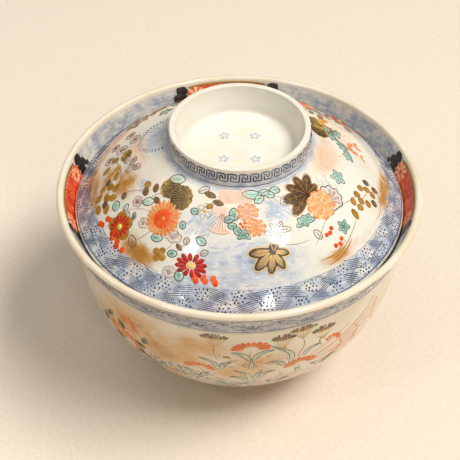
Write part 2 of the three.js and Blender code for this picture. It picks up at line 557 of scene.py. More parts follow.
def lobed_leaf(
    box, spot, tips, base, fill="green", tone=0.5, line=LEAF_LINE, line_tone=0.2, edge="dark"
):
    """A leaf with pointed lobes, each with its own rib and side veins."""
    outline = lobed(tips, base, LOBE_SHARPNESS)
    if fill:
        box[fill].blot(spot, outline, tone=tone, layer=1, centre=(0, 0), flow=0.25)
    box[edge].stroke(spot, closed(outline), line, line_tone, 3, EVEN)
    for direction, length in tips:
        box[edge].stroke(spot, [(0, 0), polar(0.88 * length, direction)], 0.9 * line, line_tone, 3)
        for share in (0.35, 0.6):
            for side in (-1, 1):
                start = polar(share * length, direction)
                end = start + polar(0.2 * length, direction + 38 * side)
                box[edge].stroke(spot, [start, end], 0.55 * line, line_tone + 0.1, 3)


def bud(box, spot, length, width):
    """A dark bud with gold petal lines."""
    box["dark"].blot(spot, pointed_oval(length, width) - (0, length / 2), tone=0.32, layer=1)
    for side in (-1, -0.35, 0.35, 1):
        line = [(0, -0.4 * length), (side * 0.38 * width, 0), (side * 0.12 * width, 0.42 * length)]
        box["ochre"].stroke(spot, line, 0.2, tone=0.6, layer=3)


def berry(box, spot, width=2.3, height=2.9, dark=False):
    """A plump ochre or brown oval with a darker side."""
    colour = "dark" if dark else "ochre"
    box[colour].blot(spot, oval((0, 0), width, height), tone=0.42 if dark else 0.44, layer=2, flow=-0.2)
    box["dark"].stroke(spot, oval((0, 0), 0.94 * width, 0.94 * height)[2:9], 0.18, tone=0.5, layer=4)


def dashes(box, spot, length, width, count, slope=0.0, tone=0.5):
    """A wavy row of short orange dabs that run into each other."""
    for i in range(count):
        u = length * (i / (count - 1) - 0.5)
        v = slope * u + 0.22 * width * (-1) ** i
        lean = 18 * (-1) ** i
        box["red"].dab(spot, (u, v - 0.5 * width), width, 1.7 * length / count, lean, tone, 2)


def nested_blossom(box, spot, radius, petals=12, squash=0.85):
    """A dark blossom seen from the side, ruled with fine gold lines that fan out from its root."""
    rim = scalloped((0, 0), radius, petals, 0.07, squash)
    box["dark"].blot(spot, rim, tone=0.2, layer=1)
    root = np.array([0, -0.8 * radius * squash])
    lines = 2 * petals - 5
    for i in range(lines):
        aim = -140 + 280 * i / (lines - 1)
        tip = polar(0.92 * radius, aim) * (1, squash)
        middle = 0.5 * (root + tip) + polar(0.16 * radius, aim)
        box["ochre"].stroke(spot, [root, middle, tip], 0.18, tone=rng.uniform(0.7, 0.95), layer=3)
    box["ochre"].stroke(spot, closed(0.99 * rim), 0.2, tone=0.6, layer=3, swell=EVEN)


def peony(box, spot, radius, tone=0.66, squash=0.95, layer=1):
    """A full flower whose ruffled petals are drawn with soft lines."""
    box["peach"].blot(spot, scalloped((0, 0), radius, 9, 0.12, squash), tone=tone, layer=layer)
    over = 2 * layer + 1
    for ring, (share, count) in enumerate(((0.92, 9), (0.64, 7), (0.36, 5))):
        spread = 160 / count
        for i in range(count):
            aim = 360 * (i + 0.5 * ring) / count + rng.uniform(-5, 5)
            ends = [polar((share - 0.14) * radius, aim + way * spread) for way in (-1, 1)]
            arc = np.array([ends[0], polar(share * radius, aim), ends[1]]) * (1, squash)
            box["red"].stroke(spot, arc, 0.6, tone=0.72, layer=over)
            for way in (-0.4, 0.3):
                fold = [polar((share - back) * radius, aim + way * spread) for back in (0.36, 0.2, 0.08)]
                box["red"].stroke(spot, np.array(fold) * (1, squash), 0.45, tone=0.78, layer=over)


def half_disc(box, spot, radius, squash=0.8, petals=6):
    """A small pale blossom seen from the side, drawn in brown."""
    box["dark"].blot(spot, scalloped((0, 0), radius, petals, 0.15, squash), tone=0.97, layer=0)
    box["dark"].stroke(
        spot, closed(scalloped((0, 0), radius, petals, 0.15, squash, count=4 * petals)), 0.2, 0.5, 3,
        EVEN
    )
    for i in range(petals):
        aim = -80 + 160 * i / (petals - 1)
        tip = polar(0.8 * radius, aim) * (1, squash)
        box["dark"].stroke(spot, [(0, -0.6 * radius * squash), 0.5 * tip, tip], 0.17, 0.55, 3)


def outlined_blossom(box, spot, radius, petals=6):
    """A blossom that is only drawn, with the glaze showing inside it."""
    for i in range(petals):
        aim = 360 * i / petals
        spread = 170 / petals
        box["dark"].stroke(
            spot,
            [
                polar(0.3 * radius, aim - spread), polar(0.9 * radius, aim - 0.7 * spread),
                polar(1.05 * radius, aim), polar(0.9 * radius, aim + 0.7 * spread),
                polar(0.3 * radius, aim + spread)
            ],
            0.2, 0.5, 2
        )
    box["ochre"].blot(spot, oval((0, 0), 0.5 * radius, 0.5 * radius), tone=0.7, layer=2)


def half_chrysanthemum(box, spot, radius, petals, squash):
    """A fan of broad orange petals with ochre gaps."""
    for i in range(petals):
        aim = -86 + 172 * i / (petals - 1)
        root = polar(0.34 * radius, aim) * (1, squash)
        tip = polar(radius * rng.uniform(0.94, 1.03), aim) * (1, squash)
        width = math.pi * 0.75 * radius / petals * 1.1
        box["red"].stroke(spot, [root, (root + tip) / 2, tip], width, 0.64, 1, PETAL, flow=-0.2)
    for i in range(petals - 1):
        aim = -86 + 172 * (i + 0.5) / (petals - 1)
        ends = [polar(0.36 * radius, aim) * (1, squash), polar(0.92 * radius, aim) * (1, squash)]
        box["ochre"].stroke(spot, ends, 0.42, tone=0.8, layer=4)


def umbel(box, spot, width, height):
    """A flat head of short dark-olive strokes on thin ochre stalks."""
    for i in range(7):
        u = width * (i / 6 - 0.5)
        box["ochre"].stroke(
            spot, [(0.1 * u, -0.9 * height), (0.7 * u, -0.3 * height), (0.9 * u, 0)], 0.26, 0.72, 1
        )
    box["ochre"].blot(spot, oval((0, 0.08 * height), 0.9 * width, 0.4 * height), tone=0.62, layer=0)
    for i in range(60):
        u = width * rng.uniform(-0.5, 0.5)
        v = 0.42 * height * (1 - (2 * u / width) ** 2) * rng.uniform(-0.3, 1)
        colour, tone = (("dark", 0.5), ("green", 0.02), ("ochre", 0.25))[i % 3]
        box[colour].dab(spot, (u, v), 0.34 * height, 0.6, 55 * u / width, tone, 2)


def striped_panel(box, spot, width, height):
    """A peach block ruled with thin dark-pink lines."""
    corners = [(-1, -1), (0, -1), (1, -1), (1, 0), (1, 1), (0, 1.05), (-1, 1), (-1, 0)]
    outline = smooth_path(np.array(corners) * (width / 2, height / 2), 1.2)
    box["peach"].blot(spot, outline, tone=0.28, layer=0)
    lines = round(width / 0.62)
    for i in range(1, lines):
        u = width * (i / lines - 0.5)
        box["peach"].stroke(
            spot, [(u, -0.46 * height), (u, 0), (u, 0.46 * height)], 0.2, tone=0.12, layer=2
        )


def fan_panel(box, spot, radius, ribs=7):
    """A small folding fan in beige with brown ribs."""
    aims = np.linspace(145, 215, 9)
    rim = [polar(radius, aim) + (0, radius / 2) for aim in aims]
    outline = np.array([(0, radius / 2), *rim])
    box["peach"].blot(spot, outline, tone=0.34, layer=0)
    for aim in np.linspace(145, 215, ribs):
        box["dark"].stroke(
            spot, [(0, radius / 2), polar(0.97 * radius, aim) + (0, radius / 2)], 0.17, tone=0.6, layer=3
        )
    box["dark"].stroke(spot, rim, 0.2, tone=0.6, layer=3)


def vines(box, glaze, lines, width=0.26, tone=0.72, colour="dark", shift=0.0):
    """Thin stems, each through charted points of an angle and a distance."""
    for points in lines:
        angle, distance = points[len(points) // 2]
        spot = Spot(glaze, angle + shift, distance)
        flat = []
        for a, d in points:
            r = float(glaze.radius(d * MM)) / MM
            flat.append((math.radians(a - angle) * (r + spot.radius / MM) / 2, distance - d))
        box[colour].stroke(spot, flat, width, tone, 2)


def around(glaze, shift=0.0):
    """Gives the spots of a group of motifs, which shift turns round the glaze together."""
    return lambda angle, distance, turn=0.0: Spot(glaze, angle + shift, distance, turn)


def cluster(box, glaze, places, shift=0.0):
    """Berries at charted places, each (angle, distance, dark)."""
    for angle, distance, dark in places:
        turn = rng.uniform(-25, 25)
        berry(box, Spot(glaze, angle + shift, distance, turn), dark=dark)


def grass(box, glaze, points, width=1.6, shift=0.0):
    """A long bending blade, drawn as a pale fill between two grey-green lines."""
    angle, distance = points[0]
    spot = Spot(glaze, angle + shift, distance)
    flat = [(math.radians(a - angle) * spot.radius / MM, distance - d) for a, d in points]
    line = smooth_path(flat)
    along = np.gradient(line, axis=0)
    along /= np.linalg.norm(along, axis=1)[:, None]
    side = np.column_stack([-along[:, 1], along[:, 0]])
    swell = (0.5 * width * np.interp(np.linspace(0, 1, len(line)), *BLADE))[:, None]
    box["green"].stroke(spot, flat, width, 1.0, 0, BLADE)
    for way, tone in ((-1, 0.1), (0, 0.3), (1, 0.0)):
        edge = (line + way * side * swell)[::2]
        box["green"].stroke(spot, edge, 0.36, tone=tone, layer=2)


def ring_line(paint, glaze, distance, width, tone, layer=0):
    """A line all the way round, drawn in arcs that overlap."""
    arcs = 8
    r = float(glaze.radius(distance * MM)) / MM
    half = math.pi * r / arcs + 0.3
    for i in range(arcs):
        spot = LevelSpot(glaze, 360 * i / arcs, distance)
        paint.stroke(spot, [(-half, 0), (0, 0), (half, 0)], width, tone, layer, EVEN, flow=0.0)


def dot_group(box, spot):
    """Small dots in four staggered rows."""
    for row, v in enumerate((1.5, 0.5, -0.5, -1.5)):
        for u in ((-1.8, -0.6, 0.6, 1.8), (-1.2, 0, 1.2))[row % 2]:
            at = (u + rng.uniform(-0.25, 0.25), v + rng.uniform(-0.2, 0.2))
            size = rng.uniform(0.4, 0.75)
            box["blue"].blot(spot, oval(at, size, size, count=8), tone=rng.uniform(0, 0.15), layer=1)


def hatching(box, spot, lean, count, tone):
    """Parallel brush lines at a slant."""
    for k in range(count):
        v = 0.58 * (k - (count - 1) / 2)
        reach = rng.uniform(2.4, 4.2)
        tilt = math.tan(math.radians(lean))
        ends = [(-reach, v - reach * tilt), (0, v), (reach, v + reach * tilt)]
        box["blue"].stroke(spot, ends, 0.28, tone=tone + rng.uniform(-0.1, 0.1), layer=1)


def cloud_strokes(box, glaze, zones):
    """Short, very pale blue brush marks inside washed zones."""
    for from_angle, to_angle, from_distance, to_distance, count, lean in zones:
        for _ in range(count):
            angle = rng.uniform(from_angle, to_angle)
            distance = rng.uniform(from_distance, to_distance)
            spot = Spot(glaze, angle, distance, lean + rng.uniform(-18, 18))
            length = rng.uniform(1.0, 2.4)
            path = [(-length, 0), (0, rng.uniform(-0.4, 0.4)), (length, 0)]
            box["blue"].stroke(spot, path, rng.uniform(0.4, 0.7), rng.uniform(0.94, 1.1), 0)


# ---- The lid's painting ----
def left_bouquet(box, shift=0.0):
    """Chrysanthemums, crimson daisies and small leaves."""
    spot = around(lid_dome, shift)
    lines = (
        [(-62, 30), (-60, 22), (-52, 17), (-46, 16)], [(-46, 27), (-42, 22), (-40, 18)],
        [(-33, 26), (-29, 21), (-30, 16), (-38, 12)], [(-30, 30), (-40, 30), (-48, 28)],
        [(-53, 13), (-50, 10), (-45, 8)], [(-27, 23), (-24, 20), (-20, 17), (-14, 15)],
        [(-23, 10), (-18, 6), (-10, 5)], [(-70, 20), (-62, 14), (-55, 10)]
    )
    vines(box, lid_dome, lines, shift=shift)
    silhouette(box, spot(-55.5, 25.8), 5.0, 5, start=-40, tone=0.42)
    daisy(box, spot(-55.5, 26), 4.1, 14, 1.0, tone=0.26)
    silhouette(box, spot(-32.5, 25.5), 2.6, 4, start=20, tone=0.45)
    chrysanthemum(box, spot(-39, 15.5), 6.1)
    daisy(box, spot(-18.6, 25.4), 5.3, 12, 0.72, tone=0.14)
    draw(nested_blossom, box, spot, (-46.5, 6.4, -78, 3.6, 11, 0.95), (-36.4, 7.3, 112, 4.2, 13, 0.9))
    draw(
        dashes, box, spot, (-52.5, 30.2, -18, 7, 2.3, 5, 0.1, 0.5), (-63.4, 29, 70, 5, 2.3, 4, 0.0, 0.5),
        (-12.5, 28.7, 4, 7.5, 2.4, 6, -0.05, 0.52)
    )
    draw(
        leaf, box, spot, (-65, 23, 60, 3.6, 3.0, 0.5), (-52, 14, -50, 4.2, 2.6, 0.7),
        (-47, 3, -60, 5.4, 3.4, 0.62), (-53, 20.3, 40, 2.6, 1.4, 0.3), (-36.8, 21.4, -70, 4.0, 2.6, 0.5),
        (-28, 14.7, 30, 2.6, 2.0, 0.45), (-25, 9.5, 80, 2.6, 2.0, 0.4), (-17, 17.8, 70, 3.5, 2.4, 0.5),
        (-27.5, 23.8, -75, 3.2, 2.2, 0.45), (-22, 29.3, 20, 3.4, 3.0, 0.45),
        (-60, 20.5, 10, 2.6, 1.8, 0.6)
    )
    draw(
        leaf, box, spot, (-46, 26.5, 60, 4.2, 2.6), (-23.4, 18.9, 20, 2.4, 1.8),
        (-14.5, 21, -60, 2.6, 1.8), (-25, 2.2, -50, 3.6, 2.2), (-56.6, 21.7, 0, 2.2, 2.2), fill=None,
        line_tone=0.5
    )
    draw(
        half_disc, box, spot, (-26, 29.2, 0, 2.3, 0.75), (-30, 18.9, 0, 2.9, 0.66),
        (-46.5, 19.9, 0, 1.8, 1.0), (-57, 16.4, 0, 2.0, 0.9)
    )
    draw(
        bud, box, spot, (-58, 12.4, 55, 3.6, 2.6), (-54.4, 9.4, 40, 3.4, 2.4), (-48.4, 12, 75, 3.0, 2.2),
        (-19.5, 3.2, 80, 4.4, 2.2), (-13, 5.2, 80, 3.8, 2.1), (-25.7, 21.3, 60, 2.8, 1.6)
    )
    draw(berry, box, spot, (-60.5, 10.6, 30, 2.8, 2.4), (-17.4, 6.8, 30, 2.4, 1.8))
    outlined_blossom(box, spot(-19.6, 8.6), 2.4)


def middle_panels(box, shift=0.0):
    """Peach fans and a half-hidden peach peony between the bouquets."""
    spot = around(lid_dome, shift)
    draw(striped_panel, box, spot, (-2.5, 2.8, 0, 11.0, 4.8), (-10.5, 8.0, 0, 4.0, 3.2))
    fan_panel(box, spot(-9.6, 11.4, -4), 6.6)
    draw(peony, box, spot, (4.6, 7.6, 0, 3.8, 0.5, 0.75), (8.4, 12.6, 0, 3.4, 0.8, 0.8))
    for u, v in ((-0.6, 0.2), (0.7, 0.5), (0.1, -0.7)):
        box["red"].blot(spot(1.9, 11.4), oval((u, v), 1.1, 1.1), tone=0.5, layer=3)
    draw(
        leaf, box, spot, (-2.7, 8.3, 10, 4.0, 3.0), (-5.2, 9.9, -60, 3.4, 2.2),
        (-3.4, 11.9, 100, 2.8, 2.0), (-0.6, 13.4, 40, 3.2, 2.2), tone=0.42
    )
    lobed_leaf(
        box, spot(2.4, 14.6), [(-120, 2.2), (-50, 2.4), (10, 1.8), (60, 2.4), (120, 2.2)], 1.1, "green",
        0.45
    )
    draw(
        leaf, box, spot, (9.0, 2.2, 78, 6.2, 2.8), (13.0, 3.9, 120, 3.6, 2.4), (20.5, 3.0, 60, 3.4, 2.2),
        (25.5, 2.1, 70, 3.2, 2.2), (17.0, 2.0, 95, 3.6, 2.0), tone=0.55
    )


def right_bouquet(box, shift=0.0):
    """An orange peony with dark and mint leaves, berries and a sprig."""
    spot = around(lid_dome, shift)
    lines = (
        [(60, 22), (66, 21.5), (72, 22), (78, 23)], [(40, 27), (48, 26), (56, 24), (60, 22)],
        [(64, 28), (72, 29), (80, 26), (79, 21)], [(33, 22), (38, 20), (42, 18), (46, 17)],
        [(20, 19), (26, 20), (33, 20)], [(58, 17), (64, 18.5), (69, 19)]
    )
    vines(box, lid_dome, lines, shift=shift)
    lobed_leaf(
        box, spot(43.5, 7.4), [(-112, 8.8), (-76, 9.2), (-38, 7.2), (2, 6.8), (42, 7.2), (82, 5.4)], 2.4,
        "dark", 0.26, 0.34, 0.55, edge="ochre"
    )
    lobed_leaf(
        box, spot(53, 13.6), [(-20, 5.4), (15, 5.2), (45, 5.4), (75, 5.2), (105, 5.0), (135, 4.6)], 3.2,
        "dark", 0.93, 0.36, 0.12
    )
    peony(box, spot(47.0, 12.6), 5.4, tone=0.78, layer=3)
    lobed_leaf(
        box, spot(34, 14.4), [(-100, 3.4), (-55, 2.6), (0, 2.0), (60, 2.8), (100, 3.4), (180, 1.8)], 1.3,
        "green", 0.45
    )
    lobed_leaf(
        box, spot(69.8, 11.2, 30), [(-140, 2.8), (-80, 2.6), (-10, 3.0), (60, 2.8), (130, 2.4)], 1.4,
        "green", 0.45
    )
    lobed_leaf(
        box, spot(50, 22.4, 20), [(-130, 2.2), (-60, 2.2), (0, 2.6), (70, 2.4), (140, 2.2)], 1.2,
        "green", 0.35
    )
    lobed_leaf(
        box, spot(19, 14.4), [(-95, 4.2), (-40, 3.0), (40, 3.0), (95, 4.2), (180, 2.2)], 1.2, None,
        line_tone=0.72
    )
    leaf(box, spot(36.7, 19.8, 20), 3.6, 2.2, fill=None, line_tone=0.45)
    for angle, distance in (
        (44, 20.2), (42.3, 21.2), (40.3, 21.2), (45.6, 24.6), (43.8, 25.6), (41.6, 25.4)
    ):
        box["red"].blot(spot(angle, distance), oval((0, 0), 1.6, 1.5), tone=0.45, layer=2)
    cluster(
        box, lid_dome,
        (
            (74, 19.6, False), (76, 22, False), (75.7, 24.7, False), (69, 19.3, False),
            (67.7, 21.6, False), (63.8, 19.4, False), (64.5, 22.4, False), (69.4, 24.2, False),
            (79.6, 21.2, True), (79.2, 25.1, True), (72.3, 26.2, True)
        ),
        shift
    )
    berry(box, spot(59.4, 22.2, -10), 2.3, 4.0)


def gilded_leaf(box, spot):
    """The one leaf with a bright raised gold rim and gold ribs over a dark ground."""
    tips = [(-86, 7.6), (-126, 8.0), (-164, 7.0), (156, 6.4), (104, 5.2), (42, 2.6), (-4, 2.6)]
    outline = lobed(tips, 1.8, 10.0, 120)
    box["dark"].blot(spot, outline, tone=0.16, layer=1, centre=(0, 0))
    for direction, length in tips[:5]:
        for side in (-1, -0.6, -0.2, 0.2, 0.6, 1):
            root = polar(0.1 * length, direction + 40 * side)
            tip = polar((0.95 - 0.25 * abs(side)) * length, direction + 11 * side)
            box["gold"].stroke(spot, [root, tip], 0.36, tone=0.8, layer=4)
    box["gold"].stroke(spot, closed(outline), 0.46, tone=0.8, layer=5, swell=EVEN)
    for direction, length in tips[5:]:
        box["gold"].stroke(spot, [(0, 0), polar(1.3 * length, direction)], 0.4, tone=0.8, layer=5)


def side_leaves(box):
    """What shows at the far left and far right of the dome."""
    spot = around(lid_dome)
    for angle, distance, turn, tone in (
        (-76, 28, 30, 0.45), (-70.4, 22.8, -40, 0.45), (-68, 26.6, 60, 0.5), (-84, 22, 20, 0.6),
        (-85.7, 19, -20, 0.6), (-73, 25, 90, 0.45), (-79, 25.5, 0, 0.5), (-74, 20.5, 15, 0.4),
        (-77, 22.5, -50, 0.35), (-81, 19.5, 70, 0.5), (-89, 24, 30, 0.4), (-93, 20.5, -30, 0.35),
        (-71, 29.5, 80, 0.45)
    ):
        box["ochre"].blot(
            spot(angle, distance, turn), pointed_oval(4.0, 2.9) - (0, 2.0), tone=tone, layer=1
        )
        vein = [(0, -1.8), (0.1, 0), (0, 1.5)]
        box["dark"].stroke(spot(angle, distance, turn), vein, 0.22, tone=0.5, layer=3)
    for angle, distance in ((-70.4, 26.5), (-80.5, 23.2), (-66, 19)):
        berry(box, spot(angle, distance, 40), 2.2, 2.8, dark=True)
    draw(
        leaf, box, spot, (-80, 14, 0), (-84, 12.5, 40), (-78, 11.5, -40), (-88, 15, 70), length=3.4,
        width=2.4, tone=0.85, fill="dark", line_tone=0.45
    )
    vines(box, lid_dome, [[(-66, 27), (-74, 24), (-82, 20), (-84, 14)]], 0.3, 0.5)
    for angle, distance, size in ((-86, 10, 1.0), (-96, 13, 1.2), (-78, 9.5, 0.8)):
        for turn in range(0, 360, 60):
            swirl = [size * polar(0.5, turn), size * polar(1.8, turn + 20), size * polar(2.6, turn + 60)]
            box["peach"].stroke(spot(angle, distance), swirl, 0.34, tone=0.62, layer=1)
    for i in range(26):
        direction = 70 + 220 * i / 25
        reach = 6.6 + rng.uniform(-0.4, 0.4)
        box["blue"].dab(spot(-100, 3.4), polar(reach, direction), 2.0, 0.7, direction, 0.6, 1)
    lines = (
        [(32, 27), (40, 27.4), (47, 25.4)], [(35, 29.4), (43, 28.8), (50, 26.4)], [(38, 28.2), (46, 27)]
    )
    vines(box, lid_dome, lines, 0.5, 0.5, "ochre")
    for angle in np.linspace(62, 98, 19):
        reach = rng.uniform(2.0, 4.0)
        path = [(0, reach), (rng.uniform(-0.5, 0.5), 0), (0, -reach)]
        box["peach"].stroke(spot(angle, 5.4), path, 0.5, tone=rng.uniform(0.15, 0.5), layer=0)
    vines(box, lid_dome, [[(-62, 14), (-74, 9), (-88, 9), (-100, 12)]], 0.5, 0.35, "peach")
    vines(box, lid_dome, [[(-70, 19), (-80, 17), (-92, 20), (-98, 24)]], 0.3, 0.55)
    draw(
        half_chrysanthemum, box, spot, (100, 17.6, 10, 3.2, 7), (104, 20.5, 10, 2.4, 7),
        (96, 21.0, 10, 1.8, 7), (116, 11.0, -20, 4.4, 9), squash=1.1
    )
    for angle, distance, turn in (
        (104, 9.2, 20), (108, 12.4, -30), (98, 12.2, 60), (91, 14.0, 20), (112, 8.5, 80)
    ):
        tips = [(-100, 2.4), (-45, 2.6), (5, 2.8), (55, 2.6), (100, 2.2)]
        lobed_leaf(box, spot(angle, distance, turn), tips, 1.0, "green", 0.42)
    draw(nested_blossom, box, spot, (106, 4.0, 20, 3.6, 9), (117, 5.4, -30, 3.4, 9))
    for angle, distance, size in (
        (-104, 14, 2.4), (-110, 18, 2.2), (-99, 18.6, 2.5), (-95, 23.4, 2.0), (-104, 23, 2.0)
    ):
        half_disc(box, spot(angle, distance, 3 * angle), size, 0.9)
    nested_blossom(box, spot(-92, 15.6), 2.6, 9, 0.9)
    vines(box, lid_dome, [[(84, 15), (90, 20), (92, 26), (88, 30)]], 0.3, 0.35, "peach")
    vines(box, lid_dome, [[(80, 3), (84, 8), (90, 12), (98, 14)]], 0.5, 0.35, "peach")


def lid_border(box):
    """Groups of small dots between patches of slanting lines, all round the edge."""
    cells = 56
    for i in range(cells):
        for row, distance in enumerate((33.2, 36.7)):
            angle = 360 * (i + 0.35 * row) / cells + rng.uniform(-0.5, 0.5)
            spot = Spot(lid_dome, angle, distance + rng.uniform(-0.25, 0.25), rng.uniform(-12, 12))
            if (i + row) % 2 == 0:
                dot_group(box, spot)
            else:
                lean = 14 if i % 4 < 2 else -14
                hatching(box, spot, lean, 6, 0.32)
                hatching(box, spot, -2.4 * lean, 4, 0.6)
    for distance, width, tone in ((31.1, 0.4, 0.8), (38.5, 0.6, 0.5)):
        ring_line(box["blue"], lid_dome, distance, width, tone)


def key_fret(box):
    """The squared meander round the ring handle."""
    cells = 42
    height = 2.7
    unit = height / 3
    corners = [(0, 0), (0, 3), (3, 3), (3, 1), (2, 1), (2, 2), (1, 2), (1, 0), (4, 0)]
    width = 2 * math.pi * RING_RADIUS / MM / cells
    stretch = width / (4 * unit)
    for i in range(cells):
        spot = LevelSpot(lid_ring, 360 * i / cells, 2.3 + height / 2)
        for start, end in zip(corners, corners[1:]):
            path = [(u * unit * stretch, v * unit) for u, v in (start, end)]
            box["blue"].stroke(spot, path, 0.42, tone=0.1, layer=1, swell=EVEN, flow=0.05)
    for distance, line, tone in ((1.25, 0.25, 0.6), (5.3, 0.35, 0.5)):
        ring_line(box["blue"], lid_ring, distance, line, tone)
    ring_line(box["blue"], lid_dome, 0.4, 0.5, 0.9)


def well_marks(box):
    """Four small blue blossoms on the floor of the ring's well."""
    across, along = 5.0, 5.8
    for u in (-across, across):
        for v in (-along, along):
            angle = math.degrees(math.atan2(u, v))
            spot = Spot(lid_well, angle, math.hypot(u, v), angle)
            for k in range(5):
                aim = 72 * k
                box["blue"].dab(spot, polar(0.3, aim), 1.7, 1.5, aim, tone=1.0, layer=0)


# ---- The bowl's painting ----
def scroll_band(box):
    """A flowing vine with curls and leaves under the lip."""
    waves = 22
    length = 2 * math.pi * RIM_RADIUS / MM / waves
    for i in range(waves):
        spot = LevelSpot(bowl_outside, 360 * i / waves, 5.6)
        path = [(length * (t / 8 - 0.5), 1.9 * math.sin(2 * math.pi * t / 8)) for t in range(9)]
        box["blue"].stroke(spot, path, 0.6, tone=0.4, layer=1, swell=EVEN)
        for side in (-1, 1):
            at = (side * length / 4, -side * 0.9)
            turns = ((2.2, -0.6), (2.1, 0.8), (1.7, 2.2), (1.2, 3.6), (0.8, 5.0), (0.4, 6.4))
            curl = [(at[0] + side * r * math.cos(a), at[1] - side * r * math.sin(a)) for r, a in turns]
            box["blue"].stroke(spot, curl, 0.6, tone=0.4, layer=1)
            box["blue"].blot(spot, oval(at, 1.1, 1.1, count=10), tone=0.15, layer=1)
            for aim in (-50, 50, 130, 230):
                box["blue"].dab(spot, at + polar(2.7, aim), 1.5, 0.9, aim, tone=0.45, layer=1)
    for distance, width, tone in ((0.9, 0.5, 0.55), (10.6, 0.55, 0.4), (11.5, 0.25, 0.6)):
        ring_line(box["blue"], bowl_outside, distance, width, tone)


def meadow(box, shift=0.0):
    """Half chrysanthemums, seed heads and bending grass, at the front or turned round by shift."""
    spot = around(bowl_outside, shift)
    draw(
        umbel, box, spot, (-7.4, 15.2, 0, 7.6), (14.6, 17.2, 0, 6.8), (21.2, 14.6, 0, 8),
        (28.8, 18.4, 0, 7), height=4.6
    )
    draw(
        half_chrysanthemum, box, spot, (4.2, 20.2, 0, 6.6, 10, 0.6), (-13, 32.4, 0, 5.4, 9, 0.6),
        (21.8, 33.4, 0, 6.2, 10, 0.7), (-39.5, 24.5, -10, 4.2, 7, 1.3), (-45, 31.5, 55, 4.6, 7, 1.1),
        (-41, 35.0, -10, 5.2, 8, 1.3), (-40, 39.0, -150, 3.4, 6, 1.2), (33, 25.0, -20, 3.4, 6, 0.8)
    )
    for points in (
        [(4.3, 26), (1.5, 22.8), (-3.0, 21.4)], [(4.6, 26), (7.6, 22.3), (13, 21.2)],
        [(4.4, 32), (4.6, 28.5), (4.3, 25)], [(17.8, 31), (17.4, 24.6), (9.6, 18.8)],
        [(-6, 32.5), (-8.2, 27.8), (-13.2, 25.6)], [(-5.6, 31.6), (-4.4, 28.2), (-1.2, 26.6)],
        [(15.8, 31.6), (13.6, 28.8), (10.2, 27.6)], [(21.8, 28), (24.4, 25.2), (29, 24)],
        [(4.4, 41), (3.2, 35.4), (-2, 32.2)], [(3.4, 40), (0.4, 37.8), (-4, 37)],
        [(6.2, 40), (7.2, 34.8), (9, 31.8)], [(6.8, 40), (9.4, 35.2), (13.6, 33.8)],
        [(22.4, 40), (21.4, 37.4), (19.6, 35)], [(-15, 40), (-16.4, 36.4), (-20, 34.6)],
        [(-12.8, 40), (-12.2, 37), (-9.4, 35.2)], [(31, 41), (28.6, 37.6), (25, 36.4)],
        [(32, 41), (34, 37.4), (37.6, 36.2)], [(-31, 44), (-33, 40), (-37, 38.6)],
        [(-29, 44), (-28.2, 40.4), (-25.4, 38.4)], [(-2, 49), (-4.2, 45.4), (-8.4, 44)],
        [(-0.6, 49), (1.6, 45.2), (5.6, 43.8)], [(14, 48), (12.2, 44.4), (9, 43.2)],
        [(15, 48), (17, 44.4), (20.6, 43)]
    ):
        grass(box, bowl_outside, points, shift=shift)
    lines = (
        [(-7.4, 18), (-7.8, 22), (-6.4, 26)], [(21, 17.5), (22, 22), (20.4, 27), (21.6, 30)],
        [(14.8, 19.5), (15.6, 22), (14.8, 24)], [(28.4, 20.5), (27.6, 23), (28.8, 26)],
        [(4.2, 21), (3.8, 24), (4.6, 27)], [(22, 34), (21, 38), (22.6, 43)],
        [(-13, 32.5), (-11.4, 36), (-12.4, 41)], [(14, 36), (16, 39), (13.6, 42)],
        [(-8, 38), (-5, 41), (-9, 44)], [(-39, 25), (-37, 28), (-38.6, 33)],
        [(-42, 36), (-40, 41), (-43, 46)], [(-22, 24), (-26, 27), (-22, 30), (-26, 33)],
        [(-32, 22), (-28, 25), (-33, 29)]
    )
    vines(box, bowl_outside, lines, 0.42, 0.55, "ochre", shift)
    lines = (
        [(25, 29), (32, 25.4), (40, 21)], [(27, 31.4), (36, 27), (46, 21.6), (52, 17)],
        [(36, 29.5), (45, 25), (54, 19.6)], [(33, 34), (42, 30), (50, 26)],
        [(30, 37.5), (38, 35), (46, 33)], [(42, 24), (45, 28), (44, 33), (48, 37)],
        [(36, 27), (38, 31), (36.6, 36), (40, 41)], [(54, 20), (52, 27), (56, 33)]
    )
    vines(box, bowl_outside, lines, 0.5, 0.84, "red", shift)
    for i in range(40):
        angle = rng.uniform(-12, 18)
        distance = rng.uniform(24, 31)
        colour, tone = (("ochre", 0.45), ("dark", 0.75), ("blue", 0.8), ("ochre", 0.6))[i % 4]
        lean = rng.uniform(-80, 80)
        box[colour].dab(spot(angle, distance), (0, 0), rng.uniform(1.4, 2.8), 0.6, lean, tone, 1)
    for _ in range(90):
        angle = rng.uniform(-40, -8)
        distance = rng.uniform(36, 44)
        lean = rng.uniform(-60, 60)
        box["blue"].dab(
            spot(angle, distance), (0, 0), rng.uniform(1.2, 2.4), 0.8, lean, rng.uniform(0.3, 0.8), 1
        )
    draw(
        leaf, box, spot, (-43, 26, 30), (-48.5, 24.5, -40), (-35.6, 31.8, 60), (-33, 27.5, -20),
        (-47, 36, 20), (-36.5, 37, -30), (-52, 29, 10), length=4.0, width=1.9, tone=0.2
    )


def rim_band(box):
    """Small blue scale marks round the inside of the flare."""
    rows = 7
    count = 150
    for row in range(rows):
        distance = 1.1 + 1.35 * row
        for i in range(count):
            angle = 360 * (i + 0.5 * (row % 2)) / count
            spot = LevelSpot(bowl_flare, angle, distance)
            tone = rng.uniform(0.35, 0.95)
            path = [(-0.95, -0.35), (0, 0.4), (0.95, -0.35)]
            box["blue"].stroke(spot, path, 0.3, tone=tone, layer=0)
    ring_line(box["blue"], bowl_flare, 0.5, 0.3, 0.7)
    ring_line(box["blue"], bowl_flare, 10.8, 0.5, 0.5)


